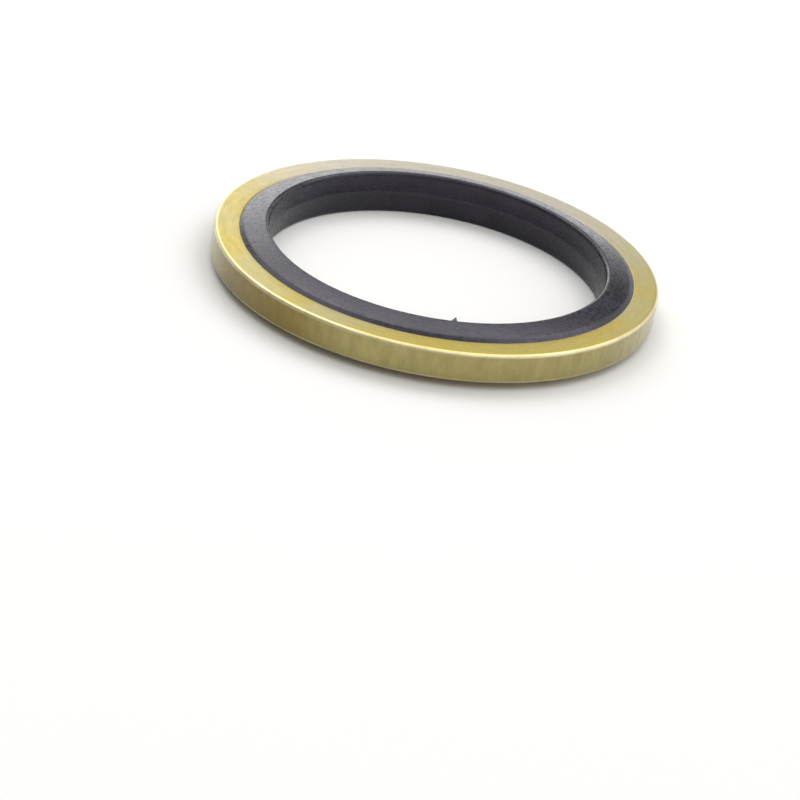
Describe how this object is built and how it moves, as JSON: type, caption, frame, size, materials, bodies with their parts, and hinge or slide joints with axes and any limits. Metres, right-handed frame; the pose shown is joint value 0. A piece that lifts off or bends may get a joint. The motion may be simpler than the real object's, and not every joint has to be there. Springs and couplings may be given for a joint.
{
  "type": "bonded sealing washer",
  "caption": "Flat steel ring with a black rubber lip seal bonded into its bore, for sealing under a bolt head or a threaded fitting.",
  "frame": {"origin": "centre of the bore at half the washer's thickness", "axes": "+Z along the bore axis; both faces are alike, so either may be up"},
  "size_m": [0.03, 0.03, 0.003],
  "materials": {
    "plated_steel": "satin zinc plating with a yellow to olive passivation",
    "black_rubber": "as moulded, faintly satin"
  },
  "bodies": {
    "root": {"metal_ring": "plated_steel", "rubber_seal": "black_rubber"}
  },
  "joints": []
}
